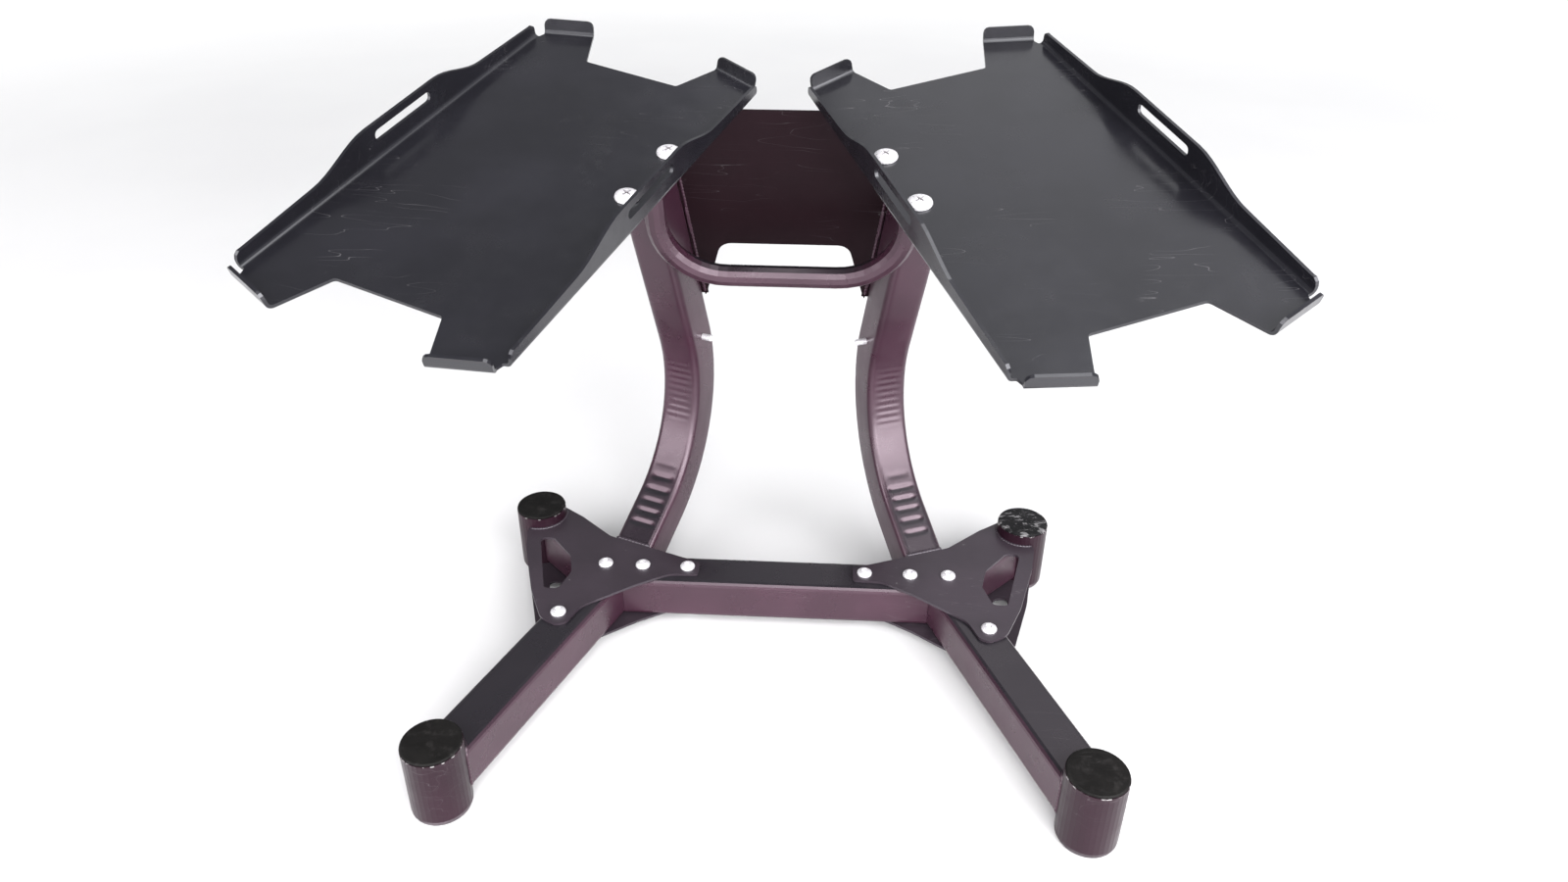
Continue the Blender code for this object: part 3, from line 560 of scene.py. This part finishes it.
# ------------------------------------------------------------------ weld beads
bead_paint = frame_paint
plate_bead = plate_paint
both_beads("upright_plate_weld", [at(0.0216, q, 0.0679) for q in (-0.023, 0.023)], 0.0030, plate_bead, 3)


def around(centre, radius, start, end, z, steps=28):
    return [centre + Vector((radius * math.cos(math.radians(start + (end - start) * k / steps)),
                             radius * math.sin(math.radians(start + (end - start) * k / steps)), z))
            for k in range(steps + 1)]


heading = math.degrees(math.atan2(-F.y, -F.x))          # from the front foot back along the arm
span = math.degrees(math.asin(0.0215 / FOOT_R))
top_arc = around(FRONT_FOOT, FOOT_R, heading - span, heading + span, TUBE_TOP)
low = TUBE_BOTTOM + 0.004
side_a = Vector((top_arc[0].x, top_arc[0].y, TUBE_TOP - 0.004))
seam = math.degrees(math.asin(0.0250 / FOOT_R))
down_a = around(FRONT_FOOT, FOOT_R + 0.0002, heading - seam, heading - seam, 0)[0]
down_b = around(FRONT_FOOT, FOOT_R + 0.0002, heading + seam, heading + seam, 0)[0]
front_weld = ([down_a + Z * low, down_a + Z * (TUBE_TOP - 0.006)] + top_arc + [down_b + Z * (TUBE_TOP - 0.006), down_b + Z * low])
both_beads("front_post_weld", front_weld, 0.0021, bead_paint, 5)
# posts at the rear, along the gusset plates' hollows
both_beads("rear_post_plate_weld", around(REAR_FOOT, FOOT_R + 0.0006, -74, -212, PLATE_TOP - 0.0004, 44), 0.0020, plate_bead, 9)
both_beads("rear_post_low_weld", around(REAR_FOOT, FOOT_R + 0.0006, -74, -212, 0.0127 + 0.0004, 44), 0.0020, plate_bead, 11)

# panel edges along the uprights' inner faces
top_straight = upright_path()[-22]
axis_p = at(top_straight[0].x, 0, top_straight[0].y)
lean3 = (F * math.sin(LEAN) + Z * math.cos(LEAN)).normalized()
face_n = (F * math.cos(LEAN) - Z * math.sin(LEAN)).normalized()
panel_in = axis_p - face_n * (TUBE / 2 - 0.0095)
slope = lean3.y / lean3.z
up_plane = Vector((0, lean3.y, lean3.z)).normalized()
panel_n = Vector((1, 0, 0)).cross(up_plane)


def panel_edge(z, extra=0.0):
    y = panel_in.y + slope * (z - panel_in.z)
    inner = at(0, -TUBE / 2, 0)
    return Vector((inner.x - (y - inner.y) * W.y / W.x, y, z)) + panel_n * extra


for label, extra, seed in (("front", 0.0019, 21), ("rear", -0.0019, 23)):
    for i, (z0, z1) in enumerate(((0.356, 0.392), (0.428, 0.464), (0.500, 0.536))):
        both_beads("panel_weld_%s_%d" % (label, i + 1),
                   [panel_edge(z0, extra) + Vector((-0.0004, 0, 0)), panel_edge(z1, extra) + Vector((-0.0004, 0, 0))],
                   0.0017, bead_paint, seed + i)

both_beads("panel_seam", [panel_edge(z) + Vector((-0.0013, 0, 0)) for z in (0.344, 0.42, 0.50, 0.566)], 0.0026, bead_paint, 29)

# the fillet strip that closes the joint
for label, sign in (("right", 1), ("left", -1)):
    verts = []
    for z in (0.343, 0.568):
        for dx, dn in ((-0.0050, -0.0012), (0.0060, -0.0012), (0.0060, 0.0012), (-0.0050, 0.0012)):
            v = panel_edge(z, dn) + Vector((dx, 0, 0))
            verts.append(Vector((v.x * sign, v.y, v.z)))
    faces = [(0, 1, 2, 3), (7, 6, 5, 4), (0, 4, 5, 1), (1, 5, 6, 2), (2, 6, 7, 3), (3, 7, 4, 0)]
    obj = make(label + "_panel_fillet", verts, faces, panel_paint, angle=30)
    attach(obj, "root")

# painted shade: dark boxes set just inside the tray screws' cross recesses
SCREWS = ((-0.085, -0.101), (-0.007, -0.101))
SCREW_HEAD_H = 0.0058
TRAY = Matrix(((0.359227, 0.931781, -0.052353, 0.224529), (-0.902698, 0.332684, -0.272870, -0.024754),
               (-0.236838, 0.145281, 0.960625, 0.5754), (0, 0, 0, 1)))
for i, (u, v) in enumerate(SCREWS):
    verts, faces = [], []
    for turn in (20, 110):
        c, t = math.cos(math.radians(turn)), math.sin(math.radians(turn))
        top = 0.0003 + 0.0010 + (SCREW_HEAD_H - 0.0010) * 0.70
        base = len(verts)
        for x, y, z in ((-1, -1, 0), (1, -1, 0), (1, 1, 0), (-1, 1, 0), (-1, -1, 1), (1, -1, 1), (1, 1, 1), (-1, 1, 1)):
            a, b = x * 0.0045, y * 0.0008
            verts.append(TRAY @ Vector((u + a * c - b * t, v + a * t + b * c, top - 0.0008 + 0.0008 * z)))
        faces += [tuple(base + k for k in f) for f in ((3, 2, 1, 0), (4, 5, 6, 7), (0, 1, 5, 4), (1, 2, 6, 5), (2, 3, 7, 6), (3, 0, 4, 7))]
    for label, points in (("right", verts), ("left", mirror(verts))):
        # the boxes borrow the glides' dark plastic to stand as painted shade
        obj = make("%s_tray_screw_recess_%d" % (label, i + 1), points, faces, glide_plastic, angle=30)
        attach(obj, "root")

# --------------------------------------------------------------------- stage
def stage_material():
    m, nt, b = nodes_of("studio_floor")
    net = Net(nt)
    colour = net.mix(net.span(net.noise(1.3, 3.0), 0.3, 0.7), (0.53, 0.53, 0.534), (0.56, 0.56, 0.562))
    nt.links.new(colour, b.inputs["Base Color"])
    b.inputs["Roughness"].default_value = 0.75
    # the far floor runs out into the pale sweep of the studio
    far = net.add("ShaderNodeVectorMath")
    far.operation = "LENGTH"
    nt.links.new(net.add("ShaderNodeTexCoord").outputs["Object"], far.inputs[0])
    b.inputs["Emission Color"].default_value = (1, 1, 1, 1)
    nt.links.new(net.span(far.outputs["Value"], 1.0, 5.5, 0.0, 0.75), b.inputs["Emission Strength"])
    return m


bm = bmesh.new()
bmesh.ops.create_circle(bm, cap_ends=True, segments=96, radius=14.0)
mesh = bpy.data.meshes.new("studio_floor")
bm.to_mesh(mesh)
bm.free()
floor = bpy.data.objects.new("studio_floor", mesh)
mesh.materials.append(stage_material())
bpy.context.scene.collection.objects.link(floor)

world = bpy.context.scene.world or bpy.data.worlds.new("studio")
bpy.context.scene.world = world
world.use_nodes = True
bg = world.node_tree.nodes.get("Background") or world.node_tree.nodes.new("ShaderNodeBackground")
bg.inputs[0].default_value = (0.96, 0.975, 1.0, 1)
net = Net(world.node_tree)
side = net.xyz(net.add("ShaderNodeTexCoord").outputs["Generated"])[0]
world.node_tree.links.new(net.span(side, -0.8, 0.8, 0.24, 0.60), bg.inputs[1])


def area(name, place, target, size, power, colour=(1, 1, 1)):
    light = bpy.data.lights.new(name, "AREA")
    light.shape = "RECTANGLE"
    light.size, light.size_y = size
    light.energy = power
    light.color = colour
    obj = bpy.data.objects.new(name, light)
    obj.location = place
    obj.rotation_euler = (Vector(target) - Vector(place)).to_track_quat("-Z", "Y").to_euler()
    bpy.context.scene.collection.objects.link(obj)
    return obj


area("back_right", (0.95, 2.0, 3.0), (0.25, 0, 0.55), (2.3, 2.6), 12)
area("overhead", (0.35, -0.35, 3.2), (0.05, 0, 0.3), (2.4, 1.6), 55)
area("front", (0.3, -3.6, 1.35), (0.05, 0, 0.55), (3.6, 1.7), 165, (1.0, 0.985, 1.0))
area("front_high", (0.5, -2.5, 2.75), (0.05, 0, 0.40), (2.6, 1.8), 85)
area("front_right", (2.35, -1.95, 1.75), (0.15, 0.15, 0.30), (3.0, 3.0), 270, (1.0, 0.985, 1.0))
area("front_left", (-2.35, -1.95, 1.75), (-0.15, 0.15, 0.30), (2.6, 2.6), 135, (1.0, 0.985, 1.0))

# --------------------------------------------------------------------- camera
pitch, yaw, roll = (math.radians(a) for a in (29.32, -3.16, -0.16))
forward = Vector((math.sin(yaw) * math.cos(pitch), math.cos(yaw) * math.cos(pitch), -math.sin(pitch)))
right0 = Vector((math.cos(yaw), -math.sin(yaw), 0))
down0 = forward.cross(right0)
right = right0 * math.cos(roll) + down0 * math.sin(roll)
down = -right0 * math.sin(roll) + down0 * math.cos(roll)
camera = bpy.data.cameras.new("camera")
cam = bpy.data.objects.new("camera", camera)
bpy.context.scene.collection.objects.link(cam)
m4 = Matrix.Identity(4)
for i, axis in enumerate((right, -down, -forward)):
    for k in range(3):
        m4[k][i] = axis[k]
for k, value in enumerate((0.048, -1.034 + YC, 0.892)):
    m4[k][3] = value
cam.matrix_world = m4
camera.sensor_width = 36.0
camera.lens = 25.50
camera.shift_x = 0.0099
camera.shift_y = -0.0317
camera.clip_start = 0.02
camera.clip_end = 60
bpy.context.scene.camera = cam
bpy.context.scene.view_settings.view_transform = "Standard"
bpy.context.scene.view_settings.exposure = 0.0
